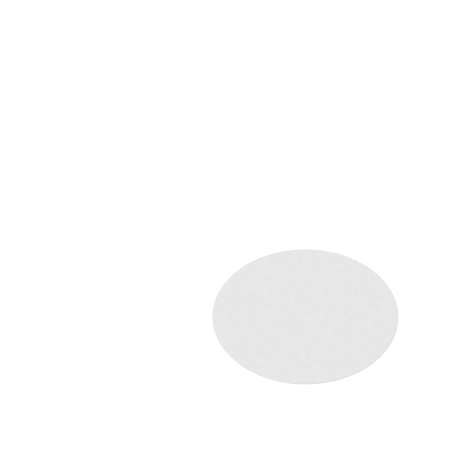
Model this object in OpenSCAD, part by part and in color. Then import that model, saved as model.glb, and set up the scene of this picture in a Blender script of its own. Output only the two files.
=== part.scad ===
// A disc of filter paper, cut from flat sheet by a ring die.
// It lies on its lower face, with the origin at the middle of that face and +Z up.
// All sizes are in millimetres.

/* [Sheet] */
// Diameter that the disc is cut to
disc_d = 90; // [25:5:320]
// Thickness of the paper
sheet_t = 0.18; // [0.14:0.01:0.4]

/* [Cut edge] */
// Radius of the shoulder that the die presses into the upper edge
shoulder_r = 0.06; // [0.02:0.01:0.08]
// Radius of the lower corner, where the die meets its cutting board
heel_r = 0.02; // [0.01:0.005:0.03]

/* [Hidden] */
disc_r = disc_d / 2;
// Steps round the disc, and round each small arc of its section
$fn = 180;
arc_fn = 32;

// What lies outside an arc in the square corner that it rounds
module corner_waste(r) {
    difference() {
        square(r);
        circle(r, $fn = arc_fn);
    }
}

// Half of the sheet's section: flat faces, a straight cut wall and its two rounded corners
module half_section() {
    difference() {
        square([disc_r, sheet_t]);
        translate([disc_r - shoulder_r, sheet_t - shoulder_r]) corner_waste(shoulder_r);
        translate([disc_r - heel_r, heel_r]) mirror([0, 1]) corner_waste(heel_r);
    }
}

module paper_disc() {
    color([0.91, 0.91, 0.91]) rotate_extrude() half_section();
}

paper_disc();
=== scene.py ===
"""Filter paper disc: the looks of one disc of filter paper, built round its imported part.

The sheet is one closed mesh. Its two faces carry the slight unevenness of felted fibre, and its
rim has the rough wall and the pinched edge that a ring die leaves. Lengths are in metres, apart
from the paper's shader, which works in millimetres and says so.
"""

import math
from typing import NamedTuple

import bpy
import numpy as np
from bpy.props import FloatProperty, FloatVectorProperty, IntProperty, PointerProperty
from bpy.types import Operator, Panel, PropertyGroup
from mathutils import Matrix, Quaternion, Vector, noise


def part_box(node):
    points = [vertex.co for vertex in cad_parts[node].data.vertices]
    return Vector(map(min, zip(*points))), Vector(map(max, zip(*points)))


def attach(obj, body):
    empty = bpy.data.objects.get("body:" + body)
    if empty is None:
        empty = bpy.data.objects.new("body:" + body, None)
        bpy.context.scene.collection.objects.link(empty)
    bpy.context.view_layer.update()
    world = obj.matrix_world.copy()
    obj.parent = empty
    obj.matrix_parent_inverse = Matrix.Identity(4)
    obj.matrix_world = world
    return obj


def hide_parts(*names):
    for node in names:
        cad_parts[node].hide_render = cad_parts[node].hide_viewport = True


bl_info = {
    "name": "Filter paper disc",
    "version": (1, 0, 0),
    "blender": (4, 5, 0),
    "location": "3D View > Sidebar > Filter paper",
    "description": "Builds a disc of filter paper and the stage that it is seen on",
    "category": "Object",
}

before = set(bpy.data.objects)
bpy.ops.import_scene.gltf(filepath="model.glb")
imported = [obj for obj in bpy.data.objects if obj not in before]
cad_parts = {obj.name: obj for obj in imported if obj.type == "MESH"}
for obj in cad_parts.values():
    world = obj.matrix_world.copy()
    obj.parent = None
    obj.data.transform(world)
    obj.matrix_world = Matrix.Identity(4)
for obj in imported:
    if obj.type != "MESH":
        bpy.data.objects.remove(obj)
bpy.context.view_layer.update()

MM = 0.001
MICRON = 0.000001
NODE = "paper_disc"
BODY = "root"
SHEET_LOW, SHEET_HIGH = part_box(NODE)


# ---------------------------------------------------------------- settings


class FilterPaperSheet(PropertyGroup):
    """Sizes of the sheet, its cut edge and the unevenness of its faces."""

    diameter: FloatProperty(
        name="Diameter",
        description="Across the cut disc",
        default=2 * max(SHEET_HIGH.x, SHEET_HIGH.y),
        min=10 * MM,
        unit="LENGTH",
    )
    thickness: FloatProperty(
        name="Thickness",
        description="From the lower face to the highest points of the upper face",
        default=SHEET_HIGH.z - SHEET_LOW.z,
        min=0.1 * MM,
        precision=6,
        unit="LENGTH",
    )
    shoulder: FloatProperty(
        name="Shoulder",
        description="Radius that the die presses into the upper edge",
        default=0.06 * MM,
        precision=6,
        unit="LENGTH",
    )
    heel: FloatProperty(
        name="Heel",
        description="Radius of the lower corner",
        default=0.02 * MM,
        precision=6,
        unit="LENGTH",
    )
    pinch_width: FloatProperty(
        name="Pinched band",
        description="Width of the band at the rim that the die squeezes thinner",
        default=0.7 * MM,
        min=0.01 * MM,
        precision=6,
        unit="LENGTH",
    )
    pinch_depth: FloatProperty(
        name="Pinch",
        description="How much lower the upper face lies at the cut",
        default=14 * MICRON,
        precision=6,
        unit="LENGTH",
    )
    felt_relief: FloatProperty(
        name="Felt side relief",
        description="Deepest hollow of the upper face between its clumps of fibre",
        default=9 * MICRON,
        precision=6,
        unit="LENGTH",
    )
    wire_relief: FloatProperty(
        name="Wire side relief",
        description="Deepest hollow of the lower face, which is flatter",
        default=5 * MICRON,
        precision=6,
        unit="LENGTH",
    )
    cut_roughness: FloatProperty(
        name="Cut roughness",
        description="How far the cut strays inwards where fibre ends pull out",
        default=18 * MICRON,
        precision=6,
        unit="LENGTH",
    )
    rings: IntProperty(
        name="Rings",
        description="Rings of points from the middle of a face to its edge",
        default=105,
        min=12,
        max=106,
    )


class FilterPaperFinish(PropertyGroup):
    """Colours and the depth of the fine surface detail."""

    dense_colour: FloatVectorProperty(
        name="Dense fibre",
        description="Colour where the fibre lies thickest",
        subtype="COLOR",
        size=4,
        default=(0.832, 0.832, 0.832, 1.0),
        min=0,
        max=1,
    )
    thin_colour: FloatVectorProperty(
        name="Thin fibre",
        description="Colour in the pores between fibres",
        subtype="COLOR",
        size=4,
        default=(0.712, 0.712, 0.712, 1.0),
        min=0,
        max=1,
    )
    web_height: FloatProperty(
        name="Web height",
        description="How far the web of fine fibre stands up, as bump",
        default=4 * MICRON,
        precision=6,
        unit="LENGTH",
    )
    fibre_height: FloatProperty(
        name="Fibre height",
        description="How far single fibres stand up, as bump",
        default=5.6 * MICRON,
        precision=7,
        unit="LENGTH",
    )
    pore_depth: FloatProperty(
        name="Pore depth",
        description="How deep the pores between fibres are, as bump",
        default=7 * MICRON,
        precision=6,
        unit="LENGTH",
    )
    wire_mark: FloatProperty(
        name="Wire mark",
        description="Depth of the forming wire's print on the lower face, as bump",
        default=5 * MICRON,
        precision=6,
        unit="LENGTH",
    )
    torn_depth: FloatProperty(
        name="Torn depth",
        description="How deep the cut wall is between its layers of fibre, as bump",
        default=45 * MICRON,
        precision=6,
        unit="LENGTH",
    )


class FilterPaperStage(PropertyGroup):
    """The camera's place and the light."""

    elevation: FloatProperty(
        name="Camera elevation",
        description="How far the camera looks down on the disc",
        default=math.radians(45.7),
        subtype="ANGLE",
    )
    aim_left: FloatProperty(
        name="Aim left",
        description="How far left of the disc's middle the camera aims, in diameters",
        default=0.3825,
    )
    aim_behind: FloatProperty(
        name="Aim behind",
        description="How far behind the disc's middle the camera aims, in diameters",
        default=0.631,
    )
    distance: FloatProperty(
        name="Camera distance",
        description="From the camera to the point on the floor that it aims at",
        default=3.172,
        unit="LENGTH",
    )
    roll: FloatProperty(
        name="Camera roll",
        description="Turn that levels the disc's long axis in the picture",
        default=math.radians(-0.67),
        subtype="ANGLE",
    )
    lens: FloatProperty(
        name="Lens",
        description="Focal length of the camera in millimetres",
        default=500,
        subtype="DISTANCE_CAMERA",
    )
    sky: FloatProperty(
        name="Sky light",
        description="Brightness of the even light from all round",
        default=0.515,
    )
    backdrop: FloatProperty(
        name="Backdrop",
        description="Brightness of the studio wall where the camera sees it",
        default=1.1,
    )
    key: FloatProperty(
        name="Key light",
        description="Strength of the broad light from the back left",
        default=2.17,
    )
    key_spread: FloatProperty(
        name="Key spread",
        description="Width of the key light as the disc sees it",
        default=math.radians(35),
        subtype="ANGLE",
    )
    key_from: FloatVectorProperty(
        name="Key from",
        description="Where the key light comes from: right, back and up",
        subtype="DIRECTION",
        default=(-0.75, 0.55, 0.95),
    )
    floor_glow: FloatProperty(
        name="Floor glow",
        description="Light that the floor gives off itself, as a light table does",
        default=0.12,
    )


# ---------------------------------------------------------------- shader maths

# The Mix node's sockets when it mixes colours.
MIX_FACTOR, MIX_FIRST, MIX_SECOND, MIX_RESULT = 0, 6, 7, 2


class Grain(NamedTuple):
    """Soft random clouds: how many to each unit of place, how many finer kinds lie on them, and
    how strong each finer kind is beside the one before."""

    scale: float
    detail: float
    roughness: float


class Signal:
    """A shader socket. Maths on it adds Math nodes, so that it reads as maths."""

    def __init__(self, graph, socket):
        self.graph = graph
        self.socket = socket

    def _maths(self, operation, *values):
        return self.graph.node("ShaderNodeMath", {"operation": operation}, dict(enumerate(values)))

    def __add__(self, other):
        return self._maths("ADD", self, other)

    def __radd__(self, other):
        return self._maths("ADD", other, self)

    def __sub__(self, other):
        return self._maths("SUBTRACT", self, other)

    def __rsub__(self, other):
        return self._maths("SUBTRACT", other, self)

    def __mul__(self, other):
        return self._maths("MULTIPLY", self, other)

    def __rmul__(self, other):
        return self._maths("MULTIPLY", other, self)

    def __abs__(self):
        return self._maths("ABSOLUTE", self)

    def highest(self, other):
        """The larger of two values at each place."""
        return self._maths("MAXIMUM", self, other)

    def sine(self):
        """A wave from -1 to 1 that repeats each time the value grows by 1."""
        return self._maths("SINE", math.tau * self)

    def clamped(self):
        """The same value, kept from 0 to 1."""
        return self.graph.node("ShaderNodeClamp", {}, {"Value": self})

    def rising(self, start, end):
        """0 up to start, 1 from end, and a smooth rise between them."""
        limits = {"Value": self, "From Min": start, "From Max": end}
        return self.graph.node("ShaderNodeMapRange", {"interpolation_type": "SMOOTHSTEP"}, limits)

    def output(self, which):
        """Another output, by name or number, of the node that this socket belongs to."""
        return Signal(self.graph, self.socket.node.outputs[which])


class Graph:
    """The nodes of one material or world."""

    def __init__(self, tree):
        self.tree = tree
        tree.nodes.clear()

    def node(self, kind, settings, sockets):
        """Adds a node, sets it up, fills or links its sockets and returns its first output."""
        made = self.tree.nodes.new(kind)
        for name, value in settings.items():
            setattr(made, name, value)
        for name, value in sockets.items():
            if isinstance(value, Signal):
                self.tree.links.new(value.socket, made.inputs[name])
            else:
                made.inputs[name].default_value = value
        return Signal(self, made.outputs[0]) if made.outputs else None

    def vector(self, operation, *values, **named):
        """A Vector Math node on these vectors."""
        sockets = dict(enumerate(values)) | named
        return self.node("ShaderNodeVectorMath", {"operation": operation}, sockets)

    def parts(self, vector):
        """The X, Y and Z of a vector."""
        split = self.node("ShaderNodeSeparateXYZ", {}, {"Vector": vector})
        return split, split.output("Y"), split.output("Z")

    def noise(self, place, grain):
        """Soft random clouds of this grain, with values about 0.5."""
        sockets = {"Scale": grain.scale, "Detail": grain.detail, "Roughness": grain.roughness}
        return self.node("ShaderNodeTexNoise", {}, {"Vector": place} | sockets)

    def mixed(self, factor, first, second):
        """A colour between two colours."""
        sockets = {MIX_FACTOR: factor, MIX_FIRST: first, MIX_SECOND: second}
        return self.node("ShaderNodeMix", {"data_type": "RGBA"}, sockets).output(MIX_RESULT)


# ---------------------------------------------------------------- paper's surface

# Everything in this section is in millimetres, or in features to a millimetre.


class FibreLayer(NamedTuple):
    """A scatter of single fibres, one to each cell of a grid."""

    spacing: float
    length: float
    width: float


# The layers of single fibres, and how far the grid of each is shifted from the one before.
FIBRE_LAYERS = (
    FibreLayer(spacing=0.8, length=0.75, width=0.055),
    FibreLayer(spacing=0.8, length=0.75, width=0.055),
    FibreLayer(spacing=1.0, length=0.9, width=0.06),
    FibreLayer(spacing=2.2, length=2.1, width=0.08),
    FibreLayer(spacing=2.6, length=2.4, width=0.08),
)
LAYER_SHIFT = (13.7, 5.9, 0.0)

# How a single fibre is drawn: how freely it lies and curves, how faint it may be, and how much of
# its half width and half length is at full strength before it fades out.
FIBRE_SCATTER = 0.8
FIBRE_BEND = 1.8
FAINTEST_FIBRE = 0.4
FIBRE_CORE = 0.2
FIBRE_BODY = 0.75

# The fine web below the single fibres: its directions in degrees, the clouds that are drawn out
# to this length and width, how sharp the lines are, and the shift to the next direction.
WEB_TURNS = (8, 47, 93, 138)
WEB_CLOUDS = Grain(scale=1.0, detail=1.0, roughness=0.5)
WEB_LENGTH = 1.8
WEB_WIDTH = 0.16
WEB_SHARPNESS = 9.0
WEB_SHIFT = (7.3, 3.1)

# Lines, clumps and pores wander to and fro over this distance, so that nothing runs straight.
DRIFTS = Grain(scale=0.7, detail=1.0, roughness=0.5)
DRIFT = 1.2

# The cloudy formation, the clumps in it, and the pores with the noise values that open one.
CLOUDS = Grain(scale=0.22, detail=3.0, roughness=0.6)
CLUMPS = Grain(scale=1.1, detail=3.0, roughness=0.6)
PORES = Grain(scale=3.2, detail=2.0, roughness=0.6)
PORE_RISE = (0.55, 0.78)

# What each feature adds to the density of fibre, and the densities that give the two colours.
CLOUD_SHARE = 0.35
CLUMP_SHARE = 0.6
WEB_SHARE = 0.16
FIBRE_SHARE = 0.35
PORE_SHARE = 0.4
DENSITY_RISE = (0.1, 0.9)

# How matte the felt is, how much less so along the web's fibres, and how cellulose reflects.
MATTE = 0.96
FIBRE_SHEEN = 0.08
FIBRE_IOR = 1.45
FIBRE_SPECULAR = 0.25

# The forming wire's weave: its pitch each way, its turn in degrees and the heights of its waves
# that make a dimple. Its print fades upwards between these shares of the thickness.
WIRE_PITCH = (0.62, 0.44)
WIRE_TURN = 7
DIMPLE_RISE = (0.1, 1.0)
PRINT_FADE = (0.3, 0.5)

# Layers of fibre in the cut wall, along the sheet and through it, and where the wall starts and
# is whole, in shoulder radii inside the cut.
TORN_FIBRE = Grain(scale=1.0, detail=4.0, roughness=0.65)
TORN_ALONG = 6.0
TORN_THROUGH = 45.0
WALL_STARTS, WALL_WHOLE = 1.2, 0.4


def drifted(graph, place):
    """The place, moved a little to and fro in the sheet, so that what is drawn there curves."""
    drift = graph.noise(place, DRIFTS).output("Color")
    centred = graph.vector("SUBTRACT", drift, (0.5, 0.5, 0.5))
    return graph.vector("ADD", place, graph.vector("SCALE", centred, Scale=DRIFT))


def fibre_web(graph, place):
    """A felt of thin curved lines that run in several directions: 1 on a line, 0 between them."""
    web = None
    for number, turn in enumerate(WEB_TURNS):
        sockets = {
            "Vector": place,
            "Location": (WEB_SHIFT[0] * number, WEB_SHIFT[1] * number, 0.0),
            "Rotation": (0.0, 0.0, math.radians(turn)),
        }
        turned = graph.node("ShaderNodeMapping", {"vector_type": "POINT"}, sockets)
        drawn = graph.vector("MULTIPLY", turned, (1 / WEB_LENGTH, 1 / WEB_WIDTH, 1 / WEB_WIDTH))
        line = (1 - WEB_SHARPNESS * abs(graph.noise(drawn, WEB_CLOUDS) - 0.5)).clamped()
        web = line if web is None else web.highest(line)
    return web


def loose_fibres(graph, place, layer, number):
    """One layer of single fibres that lie at every angle: 1 along the middle of a fibre."""
    shift = tuple(step * number for step in LAYER_SHIFT)
    cells = graph.vector("SCALE", graph.vector("ADD", place, shift), Scale=1 / layer.spacing)
    found = graph.node(
        "ShaderNodeTexVoronoi",
        {"voronoi_dimensions": "2D", "feature": "F1"},
        {"Vector": cells, "Scale": 1.0, "Randomness": FIBRE_SCATTER},
    )
    chance = graph.node("ShaderNodeSeparateColor", {}, {"Color": found.output("Color")})
    bend, strength = chance.output("Green") - 0.5, chance.output("Blue")
    turned = graph.node(
        "ShaderNodeVectorRotate",
        {"rotation_type": "Z_AXIS"},
        {"Vector": graph.vector("SUBTRACT", cells, found.output("Position")), "Angle": chance * math.pi},
    )
    along, beside, _ = graph.parts(turned)
    across = abs(beside - along * along * bend * FIBRE_BEND)
    half_width, half_length = 0.5 * layer.width / layer.spacing, 0.5 * layer.length / layer.spacing
    body = 1 - across.rising(FIBRE_CORE * half_width, half_width)
    ends = 1 - abs(along).rising(FIBRE_BODY * half_length, half_length)
    return body * ends * (FAINTEST_FIBRE + (1 - FAINTEST_FIBRE) * strength)


def wire_print(graph, place):
    """The print of the forming wire's weave: rows of short dimples, 1 at the bottom of each."""
    sockets = {
        "Vector": place,
        "Rotation": (0.0, 0.0, math.radians(WIRE_TURN)),
        "Scale": (1 / WIRE_PITCH[0], 1 / WIRE_PITCH[1], 1),
    }
    woven = graph.node("ShaderNodeMapping", {"vector_type": "POINT"}, sockets)
    warp, weft, _ = graph.parts(woven)
    return (warp.sine() * weft.sine()).rising(*DIMPLE_RISE)


def cut_wall(graph, place, sheet):
    """Where the die cut through: 1 on the wall at the rim, 0 on both faces."""
    flat = graph.vector("MULTIPLY", place, (1.0, 1.0, 0.0))
    out = graph.vector("LENGTH", flat).output("Value")
    radius, shoulder = 0.5 * sheet.diameter / MM, sheet.shoulder / MM
    return out.rising(radius - WALL_STARTS * shoulder, radius - WALL_WHOLE * shoulder)


def torn_layers(graph, place):
    """The cut wall's layers of fibre, which lie along the sheet: 1 on a layer, 0 between two."""
    squeezed = graph.vector("MULTIPLY", place, (TORN_ALONG, TORN_ALONG, TORN_THROUGH))
    return graph.noise(squeezed, TORN_FIBRE)


def paper_material(finish, sheet):
    """White felted cellulose: cloudy formation, a web of fibres, pores and a rough matte face."""
    material = bpy.data.materials.new("white_filter_paper")
    material.use_nodes = True
    graph = Graph(material.node_tree)

    here = graph.node("ShaderNodeTexCoord", {}, {}).output("Object")
    place = graph.vector("SCALE", here, Scale=1 / MM)
    _, _, height = graph.parts(place)
    under = 1 - height.rising(*(share * sheet.thickness / MM for share in PRINT_FADE))
    cut = cut_wall(graph, place, sheet)

    wandering = drifted(graph, place)
    clouds = graph.noise(place, CLOUDS)
    clumps = graph.noise(wandering, CLUMPS)
    pores = graph.noise(wandering, PORES).rising(*PORE_RISE)
    web = fibre_web(graph, wandering)
    layers = [loose_fibres(graph, wandering, layer, n) for n, layer in enumerate(FIBRE_LAYERS, 1)]
    fibres = layers[0]
    for layer in layers[1:]:
        fibres = fibres.highest(layer)

    density = CLOUD_SHARE * clouds + CLUMP_SHARE * clumps + WEB_SHARE * web
    density = (density + FIBRE_SHARE * fibres - PORE_SHARE * pores).rising(*DENSITY_RISE)
    colour = graph.mixed(density, tuple(finish.thin_colour), tuple(finish.dense_colour))

    felt = finish.web_height / MM * web + finish.fibre_height / MM * fibres
    felt = felt - finish.pore_depth / MM * pores
    felt = felt - finish.wire_mark / MM * (wire_print(graph, place) * under)
    relief = (1 - cut) * felt + finish.torn_depth / MM * (torn_layers(graph, place) * cut)

    shader = graph.node(
        "ShaderNodeBsdfPrincipled",
        {},
        {
            "Base Color": colour,
            "Roughness": MATTE - FIBRE_SHEEN * web,
            "Normal": graph.node("ShaderNodeBump", {}, {"Strength": 1.0, "Distance": MM, "Height": relief}),
            "IOR": FIBRE_IOR,
            "Specular IOR Level": FIBRE_SPECULAR,
        },
    )
    graph.node("ShaderNodeOutputMaterial", {}, {"Surface": shader})
    return material


# ---------------------------------------------------------------- paper's mesh

# A face is made of like sectors, so each ring has this many more points than the one inside it.
SECTORS = 6

# The rim's section: lips that keep its corners crisp, and the steps of each stretch.
EDGE_LIP = 0.04 * MM
SHOULDER_STEPS = 4
WALL_STEPS = 3
HEEL_STEPS = 2

# The narrow band that joins each face to the rim, and the rim's points to each of the face's.
RIM_BAND = 0.20 * MM
RIM_SHARE = 4

# Sizes of the unevenness, on the faces and along the cut wall, and what clouds and clumps add.
FACE_CLOUD, FACE_CLUMP = 4.5 * MM, 1.5 * MM
CUT_CLOUD, CUT_CLUMP = 1.2 * MM, 0.25 * MM
CUT_LAYER = 0.05 * MM
CLOUD_SWING, CLUMP_SWING = 0.5, 0.4

# Where in the noise each face, and the clumps on it, take their unevenness from.
FELT_SIDE, WIRE_SIDE = 2.0, 31.0
CLUMP_SHIFT = 9.0

# The bake's map: how much the narrow rim is stretched, each island's middle and radius, and how
# near to a ring of the section a point is that lies on it.
RIM_STRETCH = 6
UPPER_ISLAND = 0.333, 0.325
LOWER_ISLAND = 0.749, 0.243
SAME_PLACE = 0.1 * MICRON


def arc(centre_radius, centre_height, bend, start, end, steps):
    """Radius and height of points along a rounded corner, between two angles in degrees."""
    turns = [math.radians(start + (end - start) * step / steps) for step in range(steps + 1)]
    return [(centre_radius + bend * math.cos(turn), centre_height + bend * math.sin(turn)) for turn in turns]


def cut_section(sheet):
    """Radius and height of the rim's rings, from the upper face over the cut wall to the lower."""
    radius, top = sheet.diameter / 2, sheet.thickness
    shoulder, heel = sheet.shoulder, sheet.heel
    wall = top - shoulder - heel
    points = [(radius - shoulder - EDGE_LIP, top)]
    points += arc(radius - shoulder, top - shoulder, shoulder, 90, 0, SHOULDER_STEPS)
    points += [(radius, heel + wall * (1 - step / WALL_STEPS)) for step in range(1, WALL_STEPS)]
    points += arc(radius - heel, heel, heel, 0, -90, HEEL_STEPS)
    points.append((radius - heel - EDGE_LIP, 0.0))
    return points


def uneven(x, y, z, cloud, clump):
    """Felted fibre's unevenness at a place, from 0 to 1: clumps on broader clouds."""
    clouds = noise.noise(Vector((x / cloud, y / cloud, z)))
    clumps = noise.noise(Vector((x / clump, y / clump, z + CLUMP_SHIFT)))
    return min(max(0.5 + CLOUD_SWING * clouds + CLUMP_SWING * clumps, 0.0), 1.0)


def felted(sheet, x, y, z):
    """Moves a point of the plain sheet to where the felt, the pinch and the cut leave it."""
    out, radius = math.hypot(x, y), sheet.diameter / 2
    pinch = max(0.0, 1 - (radius - out) / sheet.pinch_width) ** 2 * sheet.pinch_depth
    sunk = sheet.felt_relief * uneven(x, y, FELT_SIDE, FACE_CLOUD, FACE_CLUMP) + pinch
    raised = sheet.wire_relief * uneven(x, y, WIRE_SIDE, FACE_CLOUD, FACE_CLUMP)
    height = raised + z / sheet.thickness * (sheet.thickness - sunk - raised)
    if out < radius - sheet.shoulder - 2 * EDGE_LIP:
        return x, y, height
    stray = sheet.cut_roughness * uneven(x, y, z / CUT_LAYER, CUT_CLOUD, CUT_CLUMP)
    return x * (1 - stray / out), y * (1 - stray / out), height


def ring_of(radius, height, count):
    """Evenly spaced points round the disc's axis."""
    turns = [math.tau * step / count for step in range(count)]
    return [(radius * math.cos(turn), radius * math.sin(turn), height) for turn in turns]


def face_of(edge, height, rings):
    """Rings of points from the middle of a face, where the first is one point, to its edge."""
    return [ring_of(edge * ring / rings, height, SECTORS * ring or 1) for ring in range(rings + 1)]


def face_point(first, ring, sector, step):
    """The number of a face's point. first holds the number of each ring's first point."""
    return first[ring] + (sector * ring + step) % max(SECTORS * ring, 1)


def face_triangles(first):
    """Triangles between a face's rings, sector by sector."""
    triangles = []
    for ring in range(1, len(first)):
        for sector in range(SECTORS):
            for step in range(ring):
                here, after = (face_point(first, ring, sector, at) for at in (step, step + 1))
                inside, beyond = (face_point(first, ring - 1, sector, at) for at in (step, step + 1))
                triangles.append((here, after, inside))
                if step < ring - 1:
                    triangles.append((inside, after, beyond))
    return triangles


def joining_triangles(inner_first, inner_count, outer_first, share):
    """Triangles between a ring and the ring round it, which has share times as many points."""
    triangles = []
    outer_count = inner_count * share
    for step in range(inner_count):
        here, after = inner_first + step, inner_first + (step + 1) % inner_count
        outer = [outer_first + (step * share + part) % outer_count for part in range(share + 1)]
        for part in range(share):
            triangles.append((here if part < share / 2 else after, outer[part], outer[part + 1]))
        triangles.append((here, outer[(share + 1) // 2], after))
    return triangles


def wall_quads(first, count):
    """Faces between the rim's rings, which have count points each."""
    quads = []
    for above, below in zip(first, first[1:]):
        for step in range(count):
            after = (step + 1) % count
            quads.append((above + step, below + step, below + after, above + after))
    return quads


def paper_mesh(sheet):
    """The closed mesh of the sheet: two felted faces and the finely divided rim between them."""
    section, rings = cut_section(sheet), sheet.rings
    face_edge, around = SECTORS * rings, SECTORS * rings * RIM_SHARE

    loops = face_of(section[0][0] - RIM_BAND, sheet.thickness, rings)
    loops += [ring_of(radius, height, around) for radius, height in section]
    loops += face_of(section[-1][0] - RIM_BAND, 0.0, rings)
    first = [0]
    for loop in loops[:-1]:
        first.append(first[-1] + len(loop))
    upper, rim, lower = first[: rings + 1], first[rings + 1 : -rings - 1], first[-rings - 1 :]

    upper_faces = face_triangles(upper) + joining_triangles(upper[-1], face_edge, rim[0], RIM_SHARE)
    lower_faces = face_triangles(lower) + joining_triangles(lower[-1], face_edge, rim[-1], RIM_SHARE)
    top_and_wall = upper_faces + wall_quads(rim, around)
    underside = [face[::-1] for face in lower_faces]

    points = [point for loop in loops for point in loop]
    placed = [felted(sheet, *point) for point in points]
    mesh = bpy.data.meshes.new("paper_disc_sheet")
    mesh.from_pydata(placed, [], top_and_wall + underside)
    mesh.shade_smooth()
    if mesh.validate():
        raise RuntimeError("the sheet's mesh has faults at these sizes")
    lay_out(mesh, np.array(points), section, len(top_and_wall))
    return mesh


def lay_out(mesh, points, section, first_lower):
    """Adds the bake's map: the upper face with the rim laid round it, and the lower face."""
    out, height = np.hypot(points[:, 0], points[:, 1]), points[:, 2]
    turn = np.arctan2(points[:, 1], points[:, 0])
    direction = np.stack([np.cos(turn), np.sin(turn)], 1)

    # How far each point lies from the middle, measured along the section.
    along, walked = out.copy(), section[0][0]
    for (radius_before, height_before), (radius, level) in zip(section, section[1:]):
        walked += RIM_STRETCH * math.hypot(radius - radius_before, level - height_before)
        here = (abs(out - radius) < SAME_PLACE) & (abs(height - level) < SAME_PLACE)
        along[here] = walked

    middle, reach = UPPER_ISLAND
    upper = middle + reach * direction * (along / walked)[:, None]
    middle, reach = LOWER_ISLAND
    lower = middle + reach * direction * (1, -1) * (out / section[-1][0])[:, None]

    corners = np.empty(len(mesh.loops), np.int32)
    mesh.loops.foreach_get("vertex_index", corners)
    split = mesh.polygons[first_lower].loop_start
    where = np.concatenate([upper[corners[:split]], lower[corners[split:]]])
    layer = mesh.uv_layers.new(name="OFBake")
    layer.uv.foreach_set("vector", where.astype(np.float32).ravel())


class FILTERPAPER_OT_cut_disc(Operator):
    """Cut the paper disc and give it its felted surface"""

    bl_idname = "filter_paper.cut_disc"
    bl_label = "Cut paper disc"

    def execute(self, context):
        sheet = context.scene.filter_paper_sheet
        mesh = paper_mesh(sheet)
        mesh.materials.append(paper_material(context.scene.filter_paper_finish, sheet))
        disc = bpy.data.objects.new("filter_paper_disc", mesh)
        context.scene.collection.objects.link(disc)
        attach(disc, BODY)
        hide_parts(NODE)
        return {"FINISHED"}


# ---------------------------------------------------------------- stage

# A floor so wide that its edge is out of sight, just clear of the disc's lower face.
FLOOR_HALF = 20.0
FLOOR_BELOW = 2 * MICRON
WHITE = (1.0, 1.0, 1.0, 1.0)
FLOOR_WHITE = (0.9, 0.9, 0.9, 1.0)
SENSOR_WIDTH = 36.0
NEAREST, FARTHEST = 0.01, 100.0


def add_floor(stage):
    """A wide white floor just under the disc, which gives off a little light of its own."""
    sides = ((-1, -1), (1, -1), (1, 1), (-1, 1))
    corners = [(x * FLOOR_HALF, y * FLOOR_HALF, -FLOOR_BELOW) for x, y in sides]
    mesh = bpy.data.meshes.new("floor")
    mesh.from_pydata(corners, [], [(0, 1, 2, 3)])
    material = bpy.data.materials.new("white_floor")
    material.use_nodes = True
    graph = Graph(material.node_tree)
    shader = graph.node(
        "ShaderNodeBsdfPrincipled",
        {},
        {
            "Base Color": FLOOR_WHITE,
            "Roughness": 1.0,
            "Specular IOR Level": 0.0,
            "Emission Color": WHITE,
            "Emission Strength": stage.floor_glow,
        },
    )
    graph.node("ShaderNodeOutputMaterial", {}, {"Surface": shader})
    mesh.materials.append(material)
    floor = bpy.data.objects.new("floor", mesh)
    bpy.context.scene.collection.objects.link(floor)


def add_light(stage):
    """Even light from all round and one broad light from the back left."""
    world = bpy.data.worlds.new("studio")
    world.use_nodes = True
    graph = Graph(world.node_tree)
    seen = graph.node("ShaderNodeLightPath", {}, {}).output("Is Camera Ray")
    strength = stage.sky + (stage.backdrop - stage.sky) * seen
    studio = graph.node("ShaderNodeBackground", {}, {"Color": WHITE, "Strength": strength})
    graph.node("ShaderNodeOutputWorld", {}, {"Surface": studio})
    bpy.context.scene.world = world

    key = bpy.data.lights.new("key", "SUN")
    key.energy = stage.key
    key.angle = stage.key_spread
    lamp = bpy.data.objects.new("key", key)
    lamp.rotation_mode = "QUATERNION"
    lamp.rotation_quaternion = Vector(stage.key_from).to_track_quat("Z", "Y")
    bpy.context.scene.collection.objects.link(lamp)


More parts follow.
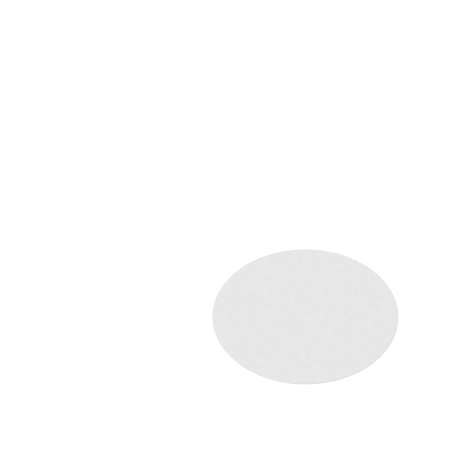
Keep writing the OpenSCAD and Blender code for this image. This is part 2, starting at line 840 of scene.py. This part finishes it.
def add_camera(stage, diameter):
    """A long lens that looks down on the disc, with the disc to the lower right."""
    aim = Vector((-stage.aim_left * diameter, stage.aim_behind * diameter, 0.0))
    back = Vector((0.0, -math.cos(stage.elevation), math.sin(stage.elevation)))
    data = bpy.data.cameras.new("camera")
    data.lens = stage.lens
    data.sensor_width = SENSOR_WIDTH
    data.clip_start = NEAREST
    data.clip_end = FARTHEST
    camera = bpy.data.objects.new("camera", data)
    camera.location = aim + back * stage.distance
    camera.rotation_mode = "QUATERNION"
    roll = Quaternion((0.0, 0.0, 1.0), stage.roll)
    camera.rotation_quaternion = back.to_track_quat("Z", "Y") @ roll
    bpy.context.scene.collection.objects.link(camera)
    bpy.context.scene.camera = camera


class FILTERPAPER_OT_set_stage(Operator):
    """Lay the floor, set the light and place the camera"""

    bl_idname = "filter_paper.set_stage"
    bl_label = "Set stage"

    def execute(self, context):
        stage = context.scene.filter_paper_stage
        add_floor(stage)
        add_light(stage)
        add_camera(stage, context.scene.filter_paper_sheet.diameter)
        context.scene.view_settings.view_transform = "Standard"
        return {"FINISHED"}


# ---------------------------------------------------------------- panel and run


class FILTERPAPER_PT_sidebar(Panel):
    """The sizes, colours and steps, in the order in which they are used."""

    bl_label = "Filter paper"
    bl_idname = "FILTERPAPER_PT_sidebar"
    bl_space_type = "VIEW_3D"
    bl_region_type = "UI"
    bl_category = "Filter paper"

    def draw(self, context):
        scene = context.scene
        for group in (scene.filter_paper_sheet, scene.filter_paper_finish, scene.filter_paper_stage):
            box = self.layout.box()
            for name in group.__annotations__:
                box.prop(group, name)
        self.layout.operator(FILTERPAPER_OT_cut_disc.bl_idname)
        self.layout.operator(FILTERPAPER_OT_set_stage.bl_idname)


GROUPS = {
    "filter_paper_sheet": FilterPaperSheet,
    "filter_paper_finish": FilterPaperFinish,
    "filter_paper_stage": FilterPaperStage,
}
TOOLS = (FILTERPAPER_OT_cut_disc, FILTERPAPER_OT_set_stage, FILTERPAPER_PT_sidebar)


def register():
    for name, group in GROUPS.items():
        bpy.utils.register_class(group)
        setattr(bpy.types.Scene, name, PointerProperty(type=group))
    for tool in TOOLS:
        bpy.utils.register_class(tool)


def unregister():
    for tool in reversed(TOOLS):
        bpy.utils.unregister_class(tool)
    for name, group in reversed(GROUPS.items()):
        delattr(bpy.types.Scene, name)
        bpy.utils.unregister_class(group)


def main():
    register()
    bpy.ops.filter_paper.cut_disc()
    bpy.ops.filter_paper.set_stage()


if __name__ == "__main__":
    main()
